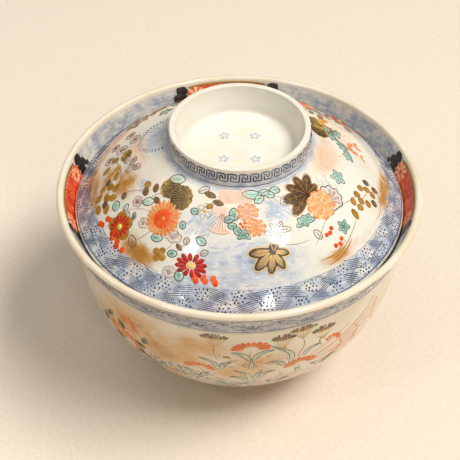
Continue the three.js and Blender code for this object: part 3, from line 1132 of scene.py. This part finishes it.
def cartouche(box, angle):
    """An orange-red panel with a pale flower near each end, ochre edges and dark leaf-shaped ends."""
    middle_radius = THROAT_INNER / MM + 3
    half = math.radians(14.5) * middle_radius
    tall = 3.7
    spot = LevelSpot(bowl_flare, angle, 4.2)
    cells = 14
    for i in range(cells):
        u = half * (2 * (i + 0.5) / cells - 1)
        width = 2.4 * half / cells
        height = 2 * tall * (1 - 0.12 * (u / half) ** 4)
        shade = 0.44 + 0.1 * math.sin(1.7 * i)
        box["red"].blot(spot, oval((u, 0), 1.7 * width, height, count=18), tone=shade, layer=1)
    t = np.linspace(-1, 1, 15)
    for way in (-1, 1):
        line = np.column_stack([half * t, way * tall * (1 - 0.12 * t**4)])
        box["ochre"].stroke(spot, line, 0.9, tone=0.35, layer=5, swell=EVEN)
    for _ in range(46):
        at = (half * rng.uniform(-0.9, 0.9), tall * rng.uniform(-0.75, 0.75))
        box["red"].dab(
            spot, at, rng.uniform(1.2, 2.4), 0.6, rng.uniform(0, 360), rng.choice([0.15, 0.9]), 3
        )
    for side, radius in ((-1, 2.6), (1, 3.4)):
        centre = np.array([side * 0.82 * half, 0])
        for i in range(8):
            box["peach"].dab(spot, centre + polar(0.7, 45 * i), radius - 0.5, 1.6, 45 * i, 0.6, 4)
            box["red"].dab(
                spot, centre + polar(0.9, 45 * i + 22), radius - 1.2, 0.5, 45 * i + 22, 0.4, 6
            )
    for side in (-1, 1):
        for v, length in ((0, 6.0), (1.9, 4.6), (-1.9, 4.6)):
            start = (side * (half + 0.4), v)
            box["dark"].dab(spot, start, length, 4.0, 90 * side - 10 * v * side, 0.04, 4)
        box["blue"].dab(spot, (side * (half + 5.2), -1.6), 2.6, 2.4, 90 * side, 0.05, 1)


def inside_sprays(box):
    """The unseen inside: two blue lines, a blossom in the middle and three sprays on plain cream."""
    for distance, width in ((14.5, 0.5), (15.6, 0.25)):
        ring_line(box["blue"], bowl_inside, distance, width, 0.4)
    middle = Spot(bowl_inside, 0, 0.02)
    for i in range(6):
        box["blue"].dab(middle, polar(0.8, 60 * i), 3.2, 1.9, 60 * i, tone=0.4, layer=1)
    box["ochre"].blot(middle, scalloped((0, 0), 1.1, 6), tone=0.7, layer=2)
    for i in range(3):
        spot = Spot(bowl_inside, 120 * i + 20, 44, 15)
        daisy(box, spot, 3.6, 12, 0.9, tone=0.3)
        for u, v, turn in ((-5, -1.5, 50), (5, -1, -50), (0, -5.4, 0)):
            place = Spot(bowl_inside, 120 * i + 20 + math.degrees(u * MM / spot.radius), 44 - v, turn)
            leaf(box, place, 3.8, 2.2, 0.45)


def underside_sprays(box):
    """The unseen underside of the lid: a blue double line and three small sprays."""
    for distance, width in ((16.5, 0.5), (17.6, 0.25)):
        ring_line(box["blue"], lid_underside, distance, width, 0.4)
    for i in range(3):
        spot = Spot(lid_underside, 120 * i, 36)
        daisy(box, spot, 3.2, 10, 0.9, tone=0.3)
        leaf(box, Spot(lid_underside, 120 * i + 9, 36, 60), 3.6, 2.0, 0.45)
        leaf(box, Spot(lid_underside, 120 * i - 9, 36, -60), 3.6, 2.0, 0.45)


# ---- Soft washes, stored on the porcelain's points ----
def soft_spot(angle, distance, at_angle, at_distance, wide, tall):
    """A smooth stain; wide is in degrees and tall in millimetres."""
    away = (angle - at_angle + 180) % 360 - 180
    return np.exp(-((away / wide) ** 2) - ((distance - at_distance) / tall) ** 2)


def ramp(value, low, high):
    """Rises smoothly from 0 at low to 1 at high."""
    t = np.clip((value - low) / (high - low), 0, 1)
    return t * t * (3 - 2 * t)


def stains(angle, distance, places):
    """Stains that merge, each (angle, distance, wide, tall, strength)."""
    total = np.zeros(np.broadcast(angle, distance).shape)
    for at_angle, at_distance, wide, tall, strength in places:
        total = np.maximum(
            total, strength * soft_spot(angle, distance, at_angle, at_distance, wide, tall)
        )
    return total


def dome_washes(angle, distance):
    """Washes on the lid's dome, by degrees from the front and millimetres from the ring."""
    blue = stains(
        angle, distance,
        (
            (-99, 4, 20, 5.5, 0.9), (21, 8.5, 9, 4.5, 0.8), (-19, 12.5, 9, 5, 0.75),
            (-62, 12, 7, 4, 0.45), (-33, 11, 6, 3, 0.5), (5, 24, 24, 8, 1.15), (-12, 30, 14, 6, 0.9),
            (58, 8.5, 7, 3, 0.25), (160, 10, 25, 8, 0.6), (-150, 24, 20, 7, 0.6)
        )
    )
    border = ramp(distance, 30.2, 32.2)
    under_ring = 1 - ramp(distance, 1.0, 2.6)
    blue = np.maximum(blue, np.maximum(0.92 * border, 0.7 * under_ring))
    ochre = stains(
        angle, distance,
        (
            (-41.6, 28.4, 8.0, 3.2, 1.6), (-47, 26, 6, 3, 0.7), (-86, 30.5, 14, 3.4, 1.25),
            (-73, 17, 8, 5.5, 1.1), (-82, 24, 10, 5, 0.7), (84, 29.6, 11, 2.6, 1.35),
            (42, 28.4, 10, 2.4, 0.75), (55, 29.5, 9, 2.0, 0.3), (-80, 8, 14, 3, 0.3),
            (-104, 29, 12, 4, 0.7), (140, 29, 14, 3.0, 0.9), (-140, 29, 9, 3.0, 0.8), (95, 4, 10, 4, 0.3)
        )
    )
    peach = stains(
        angle, distance,
        (
            (77, 5, 16, 5.5, 0.8), (112, 14, 14, 8, 0.45), (-92, 12, 14, 5, 0.5), (-88, 28, 10, 5, 0.3),
            (-120, 27, 16, 6, 1.0), (-62, 10, 8, 4, 0.3), (3, 10, 9, 5, 0.25), (60, 30, 20, 3, 0.2)
        )
    )
    return {"blue": blue, "ochre": ochre, "peach": peach}


def outside_washes(angle, distance):
    """Washes on the bowl's outside, with painted shade low on its front, by degrees from the front and
    millimetres from the lip.
    """
    band = ramp(distance, 0.4, 1.0) * (1 - ramp(distance, 10.4, 11.2))
    blue = np.maximum(
        1.25 * band,
        stains(
            angle, distance,
            (
                # The wide stain at 8 degrees and 45 mm is partly the grey wash painted low on the bowl,
                # and partly painted shade that darkens the bowl's lower front.
                (-24, 40, 14, 4, 0.9), (12.5, 26, 6, 2.5, 0.5), (8, 45, 30, 6, 0.95),
                (160, 36, 16, 4, 0.7), (95, 40, 12, 3, 0.5)
            )
        )
    )
    ochre = stains(
        angle, distance,
        (
            (-25, 28, 14, 9, 1.25), (-38, 22, 15, 8, 1.2), (-50, 28, 10, 8, 0.9), (-14, 20, 11, 5, 0.95),
            (-28, 42, 16, 7, 0.8), (18, 44, 16, 6, 0.7), (1, 34, 14, 7, 0.9), (6, 27, 10, 4, 0.85),
            (34, 33, 10, 5, 0.35), (60, 24, 14, 6, 0.3), (110, 26, 16, 7, 0.8), (155, 28, 16, 7, 0.9),
            (-120, 28, 16, 7, 0.8), (-165, 22, 12, 5, 0.6)
        )
    )
    peach = stains(
        angle, distance, ((12, 24, 20, 8, 0.15), (-40, 36, 14, 8, 0.2), (35, 30, 12, 8, 0.25))
    )
    return {"blue": blue, "ochre": ochre, "peach": peach}


def flare_washes(angle, distance):
    band = ramp(distance, 0.1, 0.9) * (1 - ramp(distance, 10.2, 11.2))
    return {"blue": 0.85 * band + 0 * angle}


def ring_washes(angle, distance):
    return {"blue": ramp(distance, 0.9, 1.5) + 0 * angle}


def plain(angle, distance):
    return {}


def unglazed(angle, distance):
    return {"biscuit": 1.0}


# ---- Porcelain bodies ----
def ripple(height, turn):
    """Faint unevenness from throwing, only ever inwards."""
    return 0.5 + 0.3 * np.sin(3 * turn + 900 * height) + 0.2 * np.sin(7 * turn - 1500 * height)


def unwrap(mesh, rows):
    """Angle across and profile up, face by face: the first fan, the rows of quads, and the last fan."""
    column = np.arange(COLUMNS)[:, None]
    row = np.repeat(np.arange(1, rows), COLUMNS)[:, None]
    u = [column + (0.5, 1, 0), np.tile(column + (0, 1, 1, 0), (rows - 1, 1)), column + (0.5, 0, 1)]
    v = [0 * column + (0, 1, 1), row + (0, 0, 1, 1), 0 * column + (rows + 1, rows, rows)]
    u, v = (np.concatenate([part.ravel() for part in parts]) for parts in (u, v))
    layer = mesh.uv_layers.new(name="OFBake")
    uv = np.column_stack([u / COLUMNS, v / (rows + 1)]).astype(np.float32)
    layer.data.foreach_set("uv", uv.ravel())


def stretch(glaze, wash, reverse=False):
    """A painted face as a stretch of profile."""
    way = slice(None, None, -1) if reverse else slice(None)
    return glaze.profile[way], glaze.distance[way], wash


def bare(points, wash=plain):
    """A stretch of profile with no painting, whose wash is the same all over."""
    return points, np.zeros(len(points)), wash


def porcelain(name, stretches, material):
    """A closed body turned from stretches of profile, from the axis to the axis again."""
    profile, washes = [], []
    angles = 180 - 360 * np.arange(COLUMNS)[None, :] / COLUMNS
    for item in stretches:
        points, distances, wash = item if isinstance(item, tuple) else bare(item)
        if profile:
            points, distances = points[1:], distances[1:]
        profile.append(points)
        found = wash(angles, distances[:, None] / MM)
        rows = [np.broadcast_to(found.get(k, 0.0), (len(points), COLUMNS)) for k in WASHES]
        washes.append(np.stack(rows))
    profile = np.vstack(profile)
    washes = np.concatenate(washes, axis=1)
    turn = np.radians(angles)
    radius = np.maximum(profile[:, :1] - THROWING_RIPPLE * ripple(profile[:, 1:], turn), 0)
    grid = np.stack([radius * np.sin(turn), -radius * np.cos(turn), profile[:, 1:] + 0 * turn], axis=-1)
    ring = grid[1:-1]
    points = np.vstack([[0, 0, profile[0, 1]], ring.reshape(-1, 3), [0, 0, profile[-1, 1]]])
    index = 1 + np.arange(len(ring) * COLUMNS).reshape(len(ring), COLUMNS)
    after = np.roll(index, -1, axis=1)
    first = [[0, b, a] for a, b in zip(index[0], after[0])]
    last = [[len(points) - 1, a, b] for a, b in zip(index[-1], after[-1])]
    quads = np.stack([index[:-1], after[:-1], after[1:], index[1:]], axis=-1).reshape(-1, 4)
    mesh = bpy.data.meshes.new(name)
    mesh.from_pydata(points.tolist(), [], first + quads.tolist() + last)
    mesh.shade_smooth()
    for k, values in zip(WASHES, washes):
        store(mesh, k + "_wash", [values[0].mean(), *values[1:-1].ravel(), values[-1].mean()])
    unwrap(mesh, len(ring))
    mesh.materials.append(material)
    return into_scene(name, mesh)


def bowl_body(material):
    """The bowl, from the middle of its underside round foot and lip to the middle of its floor."""
    fillet_start = (FOOT_INNER - FOOT_FILLET, RECESS_DEPTH)
    fillet_end = (FOOT_INNER, RECESS_DEPTH - FOOT_FILLET)
    foot_inside, foot_outside = (FOOT_INNER, FOOT_EDGE), (FOOT_OUTER, FOOT_EDGE)
    flat_inside, flat_outside = (FOOT_INNER + FOOT_EDGE, 0), (FOOT_OUTER - FOOT_EDGE, 0)
    stretches = [
        straight((0, RECESS_DEPTH), fillet_start),
        bend(fillet_start, (FOOT_INNER, RECESS_DEPTH), fillet_end), straight(fillet_end, foot_inside),
        bare(bend(foot_inside, (FOOT_INNER, 0), flat_inside, FOOT_EDGE / 3), unglazed),
        bare(straight(flat_inside, flat_outside), unglazed),
        bare(bend(flat_outside, (FOOT_OUTER, 0), foot_outside, FOOT_EDGE / 3), unglazed),
        straight(foot_outside, FOOT_JUNCTION), stretch(bowl_outside, outside_washes, reverse=True),
        round_edge(LIP_CENTRE, LIP_RADIUS, 0, 180, 16), stretch(bowl_flare, flare_washes),
        stretch(bowl_inside, plain, reverse=True)
    ]
    return porcelain("bowl_glaze", stretches, material)


def lid_body(material):
    """The lid, from the middle of its underside round its edge and ring to the middle of the well."""
    well_wall_foot = (WELL_FOOT, WELL_FLOOR + WELL_FILLET)
    well_floor_edge = (WELL_FOOT - WELL_FILLET, WELL_FLOOR)
    ring_outside, ring_inside = (RING_RADIUS, LID_TOP - RING_EDGE), (RING_MOUTH, LID_TOP - RING_EDGE)
    top_outside, top_inside = (RING_RADIUS - RING_EDGE, LID_TOP), (RING_MOUTH + RING_EDGE, LID_TOP)
    stretches = [
        stretch(lid_underside, plain), lid_edge, stretch(lid_dome, dome_washes, reverse=True),
        stretch(lid_ring, ring_washes, reverse=True),
        bend(ring_outside, (RING_RADIUS, LID_TOP), top_outside, RING_EDGE / 4),
        straight(top_outside, top_inside),
        bend(top_inside, (RING_MOUTH, LID_TOP), ring_inside, RING_EDGE / 4),
        straight(ring_inside, well_wall_foot),
        bend(well_wall_foot, (WELL_FOOT, WELL_FLOOR), well_floor_edge),
        stretch(lid_well, plain, reverse=True)
    ]
    return porcelain("lid_glaze", stretches, material)


# ---- Materials ----
def linear(red, green, blue):
    """A colour given as seen, turned into the linear value that shaders use."""
    seen = np.array([red, green, blue]) / 255
    value = np.where(seen <= 0.04045, seen / 12.92, ((seen + 0.055) / 1.055) ** 2.4)
    return (*value.tolist(), 1.0)


class Nodes:
    """Short calls for building one material."""

    def __init__(self, name, roughness, **inputs):
        self.material = bpy.data.materials.new(name)
        self.material.use_nodes = True
        self.tree = self.material.node_tree
        self.shader = self.tree.nodes["Principled BSDF"]
        self.shader.inputs["Roughness"].default_value = roughness
        for key, value in inputs.items():
            self.shader.inputs[key.replace("_", " ")].default_value = value

    def add(self, kind, **settings):
        node = self.tree.nodes.new(kind)
        for key, value in settings.items():
            setattr(node, key, value)
        return node

    def link(self, source, target):
        self.tree.links.new(source, target)

    def attribute(self, name):
        return self.add("ShaderNodeAttribute", attribute_name=name).outputs["Fac"]

    def noise(self, scale, detail=4.0, roughness=0.55, stretch=(1, 1, 1)):
        place = self.add("ShaderNodeTexCoord")
        mapping = self.add("ShaderNodeMapping")
        mapping.inputs["Scale"].default_value = stretch
        texture = self.add("ShaderNodeTexNoise")
        texture.inputs["Scale"].default_value = scale
        texture.inputs["Detail"].default_value = detail
        texture.inputs["Roughness"].default_value = roughness
        self.link(place.outputs["Object"], mapping.inputs["Vector"])
        self.link(mapping.outputs["Vector"], texture.inputs["Vector"])
        return texture.outputs["Fac"]

    def feed(self, socket, value):
        """Sets a socket to a plain number or colour, or links it to another node's output."""
        if isinstance(value, (int, float, tuple)):
            socket.default_value = value
        else:
            self.link(value, socket)

    def math(self, operation, first, second):
        node = self.add("ShaderNodeMath", operation=operation)
        self.feed(node.inputs[0], first)
        self.feed(node.inputs[1], second)
        return node.outputs[0]

    def between(self, value, low, high, to_low=0.0, to_high=1.0):
        node = self.add("ShaderNodeMapRange", interpolation_type="SMOOTHSTEP")
        self.link(value, node.inputs["Value"])
        for key, number in (
            ("From Min", low), ("From Max", high), ("To Min", to_low), ("To Max", to_high)
        ):
            node.inputs[key].default_value = number
        return node.outputs["Result"]

    def mix(self, factor, first, second):
        node = self.add("ShaderNodeMix", data_type="RGBA")
        self.link(factor, node.inputs["Factor"])
        self.feed(node.inputs[6], first)  # its sockets for colours are 6, 7 and, going out, 2
        self.feed(node.inputs[7], second)
        return node.outputs[2]

    def colours(self, value, stops):
        node = self.add("ShaderNodeValToRGB")
        ramp_stops = node.color_ramp.elements
        while len(ramp_stops) < len(stops):
            ramp_stops.new(0.5)
        for element, (position, colour) in zip(ramp_stops, stops):
            element.position = position
            element.color = colour
        self.link(value, node.inputs["Fac"])
        return node.outputs["Color"]

    def bump(self, height, strength, distance):
        node = self.add("ShaderNodeBump")
        node.inputs["Strength"].default_value = strength
        node.inputs["Distance"].default_value = distance
        self.link(height, node.inputs["Height"])
        self.link(node.outputs["Normal"], self.shader.inputs["Normal"])


def porcelain_material(name, cream, shade, blue_wash, ochre_wash, biscuit=None):
    """Cream glaze with brushed blue, ochre and peach washes, and bare biscuit where there is some."""
    n = Nodes(name, GLAZE_ROUGHNESS, Specular_IOR_Level=0.5, Coat_Weight=0.25, Coat_Roughness=0.04)
    ground = n.mix(n.between(n.noise(70, 3), 0.35, 0.7), cream, shade)
    streaks = n.noise(420, 5, 0.65, (0.6, 0.6, 2.2))
    brush_marks = n.between(streaks, 0.3, 0.65, 0.6, 1.1)
    puffs = n.between(n.noise(260, 4, 0.6), 0.3, 0.7, 0.45, 1.15)
    # On the bowl, the blue wash also holds painted shade low on its front, besides the real blue bands
    # and stains.
    blue = n.math("MULTIPLY", n.attribute("blue_wash"), n.math("MULTIPLY", puffs, brush_marks))
    washed = n.mix(n.between(blue, 0.0, 0.95), ground, blue_wash)
    washed = n.mix(n.between(blue, 0.75, 1.3, 0, 0.7), washed, linear(112, 123, 148))
    clouds = n.between(n.noise(150, 4, 0.6), 0.25, 0.65, 0.6, 1.1)
    worn = n.math("MULTIPLY", clouds, n.between(streaks, 0.3, 0.65, 0.7, 1.1))
    ochre = n.math("MULTIPLY", n.attribute("ochre_wash"), worn)
    washed = n.mix(n.between(ochre, 0.05, 0.9, 0, 0.95), washed, ochre_wash)
    washed = n.mix(n.between(ochre, 0.8, 1.3, 0, 0.6), washed, linear(160, 108, 40))
    peach = n.math("MULTIPLY", n.attribute("peach_wash"), brush_marks)
    washed = n.mix(n.between(peach, 0.0, 1.0), washed, linear(240, 178, 132))
    if biscuit:
        unglazed_part = n.attribute("biscuit_wash")
        washed = n.mix(unglazed_part, washed, biscuit)
        roughness = n.between(unglazed_part, 0, 1, GLAZE_ROUGHNESS, BISCUIT_ROUGHNESS)
        n.link(roughness, n.shader.inputs["Roughness"])
    n.link(washed, n.shader.inputs["Base Color"])
    n.bump(n.noise(900, 2), 0.12, 0.00004)
    return n.material


def enamel_material(name, stops, roughness, grit=0.2, **inputs):
    """Brush colour whose shade follows the tone painted on its points."""
    n = Nodes(name, roughness, **inputs)
    uneven = n.between(n.noise(420, 4, 0.6), 0.25, 0.75, -0.12, 0.12)
    tone = n.math("ADD", n.attribute("tone"), uneven)
    n.link(n.colours(tone, stops), n.shader.inputs["Base Color"])
    n.bump(n.noise(1600, 3), grit, 0.00004)
    return n.material


def paints():
    """The painter's colours, each with the record's slot that names its material."""
    made = {}
    for colour, (slot, roughness, stops) in ENAMELS.items():
        finish = {"grit": 0.03, "Metallic": 0.6} if colour == "gold" else {}
        seen = [(tone, linear(*rgb)) for tone, *rgb in stops]
        made[colour] = (slot, enamel_material(slot, seen, roughness, **finish))
    return made


def floor_material():
    """A pale woven cloth."""
    n = Nodes("pale_cloth", 0.9, Specular_IOR_Level=0.1)
    threads = [n.noise(1900, 2, 0.5, stretch) for stretch in ((0.2, 1, 1), (1, 0.2, 1))]
    weave = n.math("ADD", *threads)
    cloth = n.mix(n.between(weave, 0.7, 1.3), linear(229, 214, 195), linear(237, 223, 205))
    n.link(cloth, n.shader.inputs["Base Color"])
    n.bump(weave, 0.25, 0.00012)
    return n.material


# ---- Stage ----
def make_floor():
    mesh = bpy.data.meshes.new("floor")
    corners = [(FLOOR_HALF * x, FLOOR_HALF * y, 0) for x, y in ((-1, -1), (1, -1), (1, 1), (-1, 1))]
    mesh.from_pydata(corners, [], [(0, 1, 2, 3)])
    mesh.materials.append(floor_material())
    floor = into_scene("floor", mesh)


def aim(thing, target):
    thing.rotation_euler = (Vector(target) - thing.location).to_track_quat("-Z", "Y").to_euler()


def area_light(name, angle, elevation, distance, size, power, colour):
    """A square light that faces the bowl."""
    light = bpy.data.lights.new(name, "AREA")
    light.size = size
    light.energy = power
    light.color = colour
    holder = into_scene(name, light)
    holder.location = from_direction(angle, elevation, distance)
    aim(holder, BOWL_MIDDLE)
    return holder


def make_lights():
    """Soft daylight from the right, a pale ceiling, and four small windows that the glaze reflects."""
    world = bpy.data.worlds.new("studio")
    world.use_nodes = True
    sky = world.node_tree.nodes["Background"]
    sky.inputs["Color"].default_value = SKY_COLOUR
    sky.inputs["Strength"].default_value = SKY_STRENGTH
    bpy.context.scene.world = world
    made = {name: area_light(name, *settings) for name, settings in LIGHTS.items()}
    made["key"].visible_glossy = False  # its own picture in the glaze would hide the painting


def from_direction(angle, elevation, distance):
    """A place seen from the bowl at an angle from its front and an elevation, in degrees."""
    a, e = math.radians(angle), math.radians(elevation)
    level = distance * math.cos(e)
    return (level * math.sin(a), -level * math.cos(a), BOWL_MIDDLE[2] + distance * math.sin(e))


def make_camera():
    camera = bpy.data.cameras.new("camera")
    camera.lens = CAMERA_LENS
    camera.sensor_width = SENSOR_WIDTH
    holder = into_scene("camera", camera)
    holder.location = CAMERA_PLACE
    aim(holder, CAMERA_TARGET)
    bpy.context.scene.camera = holder


# ---- Assembly ----
def paint_lid():
    box = defaultdict(Paint)
    left_bouquet(box)
    middle_panels(box)
    right_bouquet(box)
    gilded_leaf(box, Spot(lid_dome, 14.6, 20.4))
    side_leaves(box)
    left_bouquet(box, shift=185)
    right_bouquet(box, shift=160)
    lid_border(box)
    key_fret(box)
    well_marks(box)
    underside_sprays(box)
    cloud_strokes(
        box, lid_dome,
        (
            (-12, 10, 17, 31, 20, 10), (-110, -82, 1, 8, 30, 70), (14, 30, 5, 11, 34, -50),
            (-26, -12, 9, 16, 22, 60), (-24, 6, 27, 31, 30, 0), (-66, -58, 8, 14, 12, 20),
            (56, 64, 6, 12, 10, 60)
        )
    )
    return box


def paint_bowl():
    box = defaultdict(Paint)
    scroll_band(box)
    meadow(box)
    meadow(box, shift=128)
    meadow(box, shift=-122)
    rim_band(box)
    for angle in (-86, 2, 89, 185):
        cartouche(box, angle)
    inside_sprays(box)
    return box


colours = paints()
for body, box in (("lid", paint_lid()), ("bowl", paint_bowl())):
    for colour, paint in box.items():
        slot, material = colours[colour]
        piece = paint.build(f"{body}_{slot}", material)
        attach(piece, body)

# The bowl's blue wash colour also tints the painted shade low on its front.
bowl_glaze = bowl_body(
    porcelain_material(
        "bowl_porcelain", cream=linear(233, 222, 199), shade=linear(227, 210, 181),
        blue_wash=linear(158, 162, 168), ochre_wash=linear(216, 166, 98), biscuit=linear(206, 182, 150)
    )
)
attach(bowl_glaze, "bowl")
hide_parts("bowl")

lid_glaze = lid_body(
    porcelain_material(
        "lid_porcelain", cream=linear(233, 228, 214), shade=linear(229, 220, 200),
        blue_wash=linear(174, 182, 196), ochre_wash=linear(190, 130, 46)
    )
)
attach(lid_glaze, "lid")
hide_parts("lid")

make_floor()
make_lights()
make_camera()
bpy.context.scene.view_settings.view_transform = "Standard"
